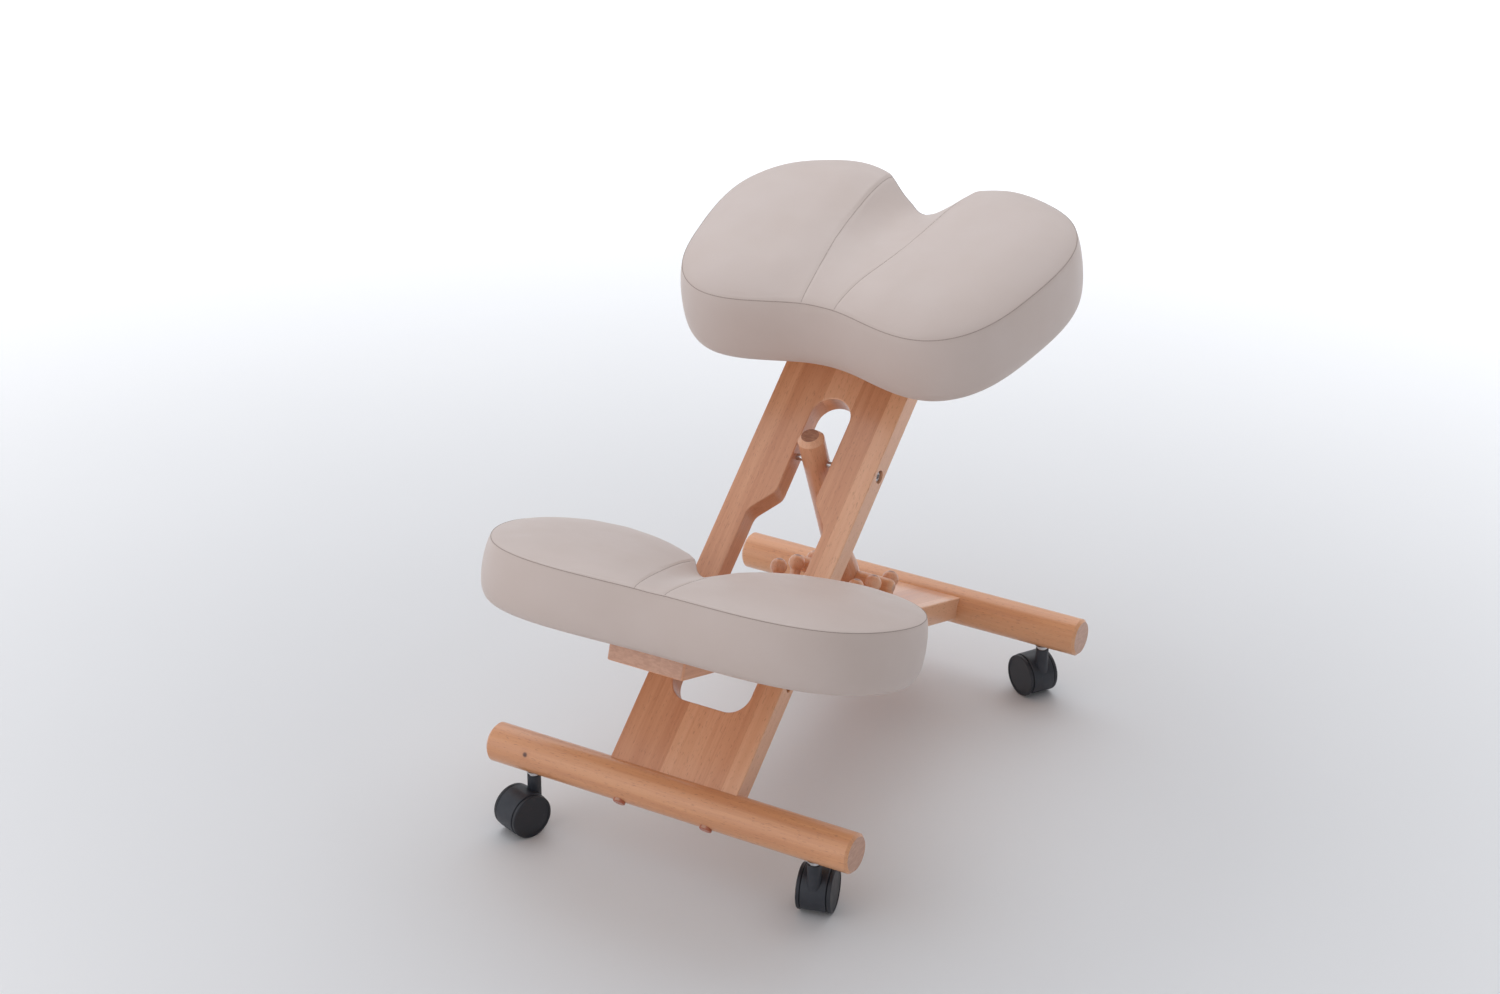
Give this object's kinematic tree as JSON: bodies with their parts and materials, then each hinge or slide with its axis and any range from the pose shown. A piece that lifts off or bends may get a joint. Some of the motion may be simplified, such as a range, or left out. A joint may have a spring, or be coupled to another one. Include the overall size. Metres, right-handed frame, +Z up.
{
  "type": "kneeling massage chair",
  "caption": "Kneeling chair: crossed wooden arms on casters, padded seat and knee rest, strut in a peg rack sets the height.",
  "frame": {"origin": "middle of the bounding box in X and Y, on the floor", "axes": "+X along the crossbars, +Y from the front crossbar to the rear crossbar, +Z up"},
  "size_m": [0.4832, 0.6734, 0.6033],
  "materials": {
    "beech": "satin lacquer, edge-glued strips",
    "turned_beech": "satin lacquer, turned",
    "plug_wood": "satin, reddish",
    "plywood": "raw birch ply",
    "leatherette": "smooth matt artificial leather",
    "caster_plastic": "satin moulded nylon",
    "nylon": "natural",
    "steel": "zinc-plated",
    "zinc": "zinc-plated sleeve",
    "chrome": "bright"
  },
  "bodies": {
    "knee_frame": {"rear_crossbar": "beech", "knee_arm": "beech", "rear_bar_bolts": "steel", "rear_bar_nuts": "steel", "rear_bar_caps": "plug_wood", "pivot_rod": "steel", "pivot_rod_heads": "steel", "pivot_washers": "nylon", "rack_pegs_left": "turned_beech", "rack_pegs_right": "turned_beech", "knee_base_board": "plywood", "knee_screws": "steel", "knee_cushion": "leatherette", "caster_rl_socket": "zinc", "caster_rr_socket": "zinc"},
    "seat_frame": {"front_crossbar": "beech", "seat_arm": "beech", "front_bar_bolts": "steel", "front_bar_nuts": "steel", "front_bar_caps": "plug_wood", "strut_rod": "steel", "strut_rod_heads": "steel", "seat_wedge_block": "plywood", "seat_base_board": "plywood", "seat_screws": "steel", "seat_cushion": "leatherette", "caster_fl_socket": "zinc", "caster_fr_socket": "zinc"},
    "strut": {"strut": "turned_beech", "strut_cross_dowel": "turned_beech"},
    "caster_fl": {"caster_fl_stem": "chrome", "caster_fl_hood": "caster_plastic", "caster_fl_axle": "steel"},
    "caster_fl_wheel_left": {"caster_fl_wheel_left": "caster_plastic"},
    "caster_fl_wheel_right": {"caster_fl_wheel_right": "caster_plastic"},
    "caster_fr": {"caster_fr_stem": "chrome", "caster_fr_hood": "caster_plastic", "caster_fr_axle": "steel"},
    "caster_fr_wheel_left": {"caster_fr_wheel_left": "caster_plastic"},
    "caster_fr_wheel_right": {"caster_fr_wheel_right": "caster_plastic"},
    "caster_rl": {"caster_rl_stem": "chrome", "caster_rl_hood": "caster_plastic", "caster_rl_axle": "steel"},
    "caster_rl_wheel_left": {"caster_rl_wheel_left": "caster_plastic"},
    "caster_rl_wheel_right": {"caster_rl_wheel_right": "caster_plastic"},
    "caster_rr": {"caster_rr_stem": "chrome", "caster_rr_hood": "caster_plastic", "caster_rr_axle": "steel"},
    "caster_rr_wheel_left": {"caster_rr_wheel_left": "caster_plastic"},
    "caster_rr_wheel_right": {"caster_rr_wheel_right": "caster_plastic"}
  },
  "joints": [
    {"name": "seat_arm_pivot", "type": "hinge", "parent": "knee_frame", "child": "seat_frame", "pos_m": [0.00449, -0.11642, 0.21935], "axis": [1, 0, 0], "range_deg": [0, 12]},
    {"name": "strut_swing", "type": "hinge", "parent": "seat_frame", "child": "strut", "pos_m": [0.00449, 0.0459, 0.36115], "axis": [1, 0, 0], "range_deg": [0, 3.84]},
    {"name": "caster_fl_swivel", "type": "hinge", "parent": "seat_frame", "child": "caster_fl", "pos_m": [-0.17151, -0.26174, 0.06], "axis": [0, 0, 1], "continuous": true},
    {"name": "caster_fl_wheel_left_roll", "type": "hinge", "parent": "caster_fl", "child": "caster_fl_wheel_left", "pos_m": [-0.17732, -0.27772, 0.025], "axis": [0.9397, -0.342, 0], "continuous": true},
    {"name": "caster_fl_wheel_right_roll", "type": "hinge", "parent": "caster_fl", "child": "caster_fl_wheel_right", "pos_m": [-0.17732, -0.27772, 0.025], "axis": [0.9397, -0.342, 0], "continuous": true},
    {"name": "caster_fr_swivel", "type": "hinge", "parent": "seat_frame", "child": "caster_fr", "pos_m": [0.18049, -0.26174, 0.06], "axis": [0, 0, 1], "continuous": true},
    {"name": "caster_fr_wheel_left_roll", "type": "hinge", "parent": "caster_fr", "child": "caster_fr_wheel_left", "pos_m": [0.17609, -0.24532, 0.025], "axis": [-0.9659, -0.2588, 0], "continuous": true},
    {"name": "caster_fr_wheel_right_roll", "type": "hinge", "parent": "caster_fr", "child": "caster_fr_wheel_right", "pos_m": [0.17609, -0.24532, 0.025], "axis": [-0.9659, -0.2588, 0], "continuous": true},
    {"name": "caster_rl_swivel", "type": "hinge", "parent": "knee_frame", "child": "caster_rl", "pos_m": [-0.17151, 0.28426, 0.06], "axis": [0, 0, 1], "continuous": true},
    {"name": "caster_rl_wheel_left_roll", "type": "hinge", "parent": "caster_rl", "child": "caster_rl_wheel_left", "pos_m": [-0.18001, 0.29898, 0.025], "axis": [-0.866, -0.5, 0], "continuous": true},
    {"name": "caster_rl_wheel_right_roll", "type": "hinge", "parent": "caster_rl", "child": "caster_rl_wheel_right", "pos_m": [-0.18001, 0.29898, 0.025], "axis": [-0.866, -0.5, 0], "continuous": true},
    {"name": "caster_rr_swivel", "type": "hinge", "parent": "knee_frame", "child": "caster_rr", "pos_m": [0.18049, 0.28426, 0.06], "axis": [0, 0, 1], "continuous": true},
    {"name": "caster_rr_wheel_left_roll", "type": "hinge", "parent": "caster_rr", "child": "caster_rr_wheel_left", "pos_m": [0.16577, 0.29276, 0.025], "axis": [-0.5, -0.866, 0], "continuous": true},
    {"name": "caster_rr_wheel_right_roll", "type": "hinge", "parent": "caster_rr", "child": "caster_rr_wheel_right", "pos_m": [0.16577, 0.29276, 0.025], "axis": [-0.5, -0.866, 0], "continuous": true}
  ],
  "couplings": [
    {"joint": "strut_swing", "follows": "seat_arm_pivot", "ratio": 0.32}
  ]
}
